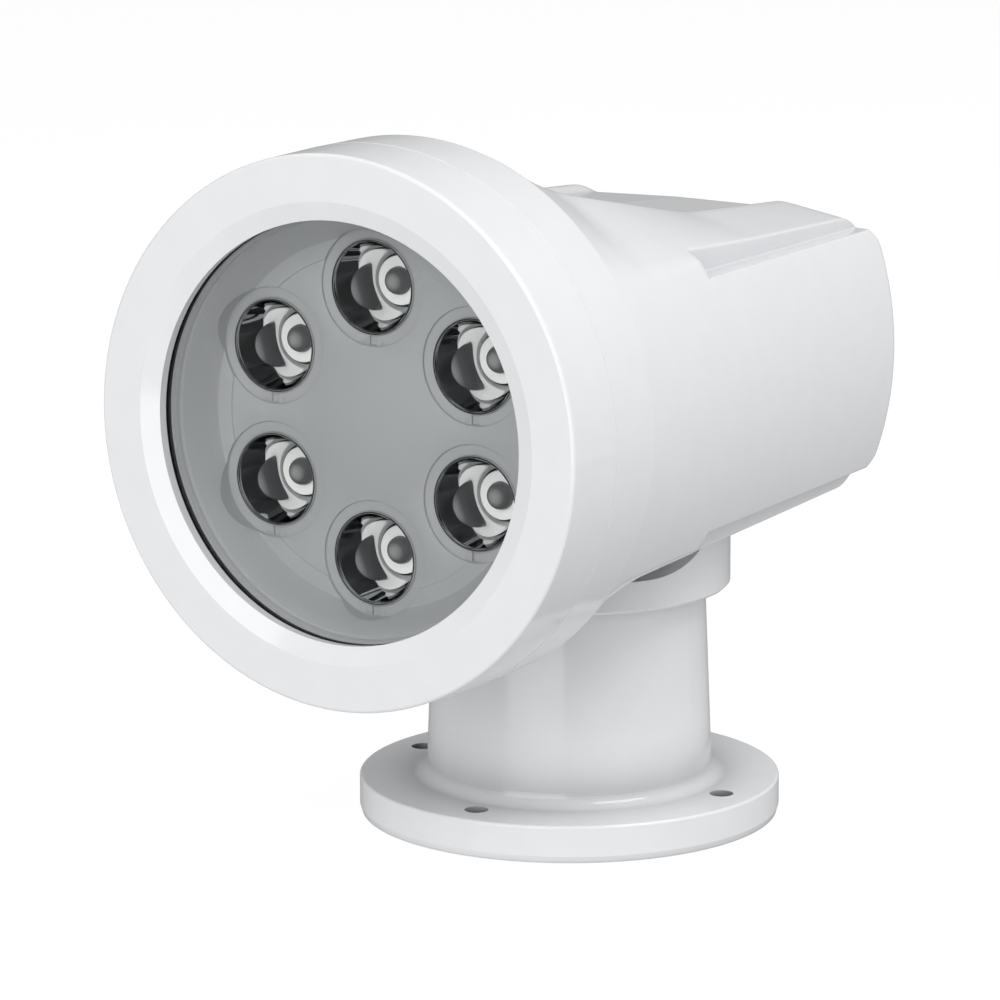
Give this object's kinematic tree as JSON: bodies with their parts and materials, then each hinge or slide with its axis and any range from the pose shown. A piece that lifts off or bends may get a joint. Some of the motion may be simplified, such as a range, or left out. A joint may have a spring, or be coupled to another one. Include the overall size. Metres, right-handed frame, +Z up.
{
  "type": "marine searchlight",
  "caption": "Searchlight with a round LED head in a flared white housing that tilts on a yoke and pans on a tapered column with a bolted deck flange.",
  "frame": {"origin": "centre of the deck bolt circle, on the underside of the flange", "axes": "+Z up along the pan axis, the beam points along -Y at rest, the tilt axis is parallel to X"},
  "size_m": [0.1546, 0.2053, 0.2104],
  "materials": {
    "white_shell": "smooth moulded gloss white",
    "black_rubber": "matt moulded",
    "bronze_bush": "turned",
    "bright_steel": "turned",
    "plain_alloy": "milled",
    "grey_plate": "satin grey",
    "chrome_cup": "vacuum-plated mirror",
    "clear_window": "clear polished",
    "emitter": "clear domed package",
    "circuit_board": "solder-masked board"
  },
  "bodies": {
    "base": {"base_casting": "white_shell", "bottom_cover": "plain_alloy", "cover_gasket": "black_rubber", "cover_screws": "bright_steel", "cable_gland": "black_rubber", "pan_bush_upper": "bronze_bush", "pan_bush_lower": "bronze_bush", "pan_seal": "black_rubber", "thrust_washer": "bronze_bush", "motor_plate": "plain_alloy", "motor_plate_screws": "bright_steel", "pan_motor": "bright_steel"},
    "pan_pinion": {"pan_pinion": "bronze_bush"},
    "turntable": {"collar": "white_shell", "pan_spindle": "bright_steel", "pan_gear": "bronze_bush", "spindle_nut": "bright_steel", "yoke": "white_shell", "turntable_screws": "bright_steel", "tilt_bush_right": "bronze_bush", "tilt_bush_left": "bronze_bush", "tilt_motor": "bright_steel"},
    "tilt_pinion": {"tilt_pinion": "bronze_bush"},
    "lamp_head": {"housing": "white_shell", "bezel": "white_shell", "rim_seal": "black_rubber", "lens": "clear_window", "lens_gasket": "black_rubber", "led_plate": "grey_plate", "reflector_1": "chrome_cup", "reflector_2": "chrome_cup", "reflector_3": "chrome_cup", "reflector_4": "chrome_cup", "reflector_5": "chrome_cup", "reflector_6": "chrome_cup", "led_1": "emitter", "led_2": "emitter", "led_3": "emitter", "led_4": "emitter", "led_5": "emitter", "led_6": "emitter", "led_board": "circuit_board", "heat_sink": "plain_alloy", "heat_sink_screws": "bright_steel", "driver_board": "circuit_board", "driver_screws": "bright_steel", "axle_right": "bright_steel", "axle_left": "bright_steel", "axle_clip": "bright_steel", "tilt_sector": "bronze_bush"}
  },
  "joints": [
    {"name": "pan", "type": "hinge", "parent": "base", "child": "turntable", "pos_m": [0, 0, 0.07], "axis": [0, 0, 1], "continuous": true},
    {"name": "pan_pinion_spin", "type": "hinge", "parent": "base", "child": "pan_pinion", "pos_m": [0, 0.021, 0.05], "axis": [0, 0, 1], "continuous": true},
    {"name": "tilt", "type": "hinge", "parent": "turntable", "child": "lamp_head", "pos_m": [0, 0, 0.1331], "axis": [-1, 0, 0], "range_deg": [-20, 15]},
    {"name": "tilt_pinion_spin", "type": "hinge", "parent": "turntable", "child": "tilt_pinion", "pos_m": [0.03, 0, 0.0971], "axis": [-1, 0, 0], "range_deg": [-75, 100]}
  ],
  "couplings": [
    {"joint": "pan_pinion_spin", "follows": "pan", "ratio": -2.5},
    {"joint": "tilt_pinion_spin", "follows": "tilt", "ratio": -5}
  ]
}
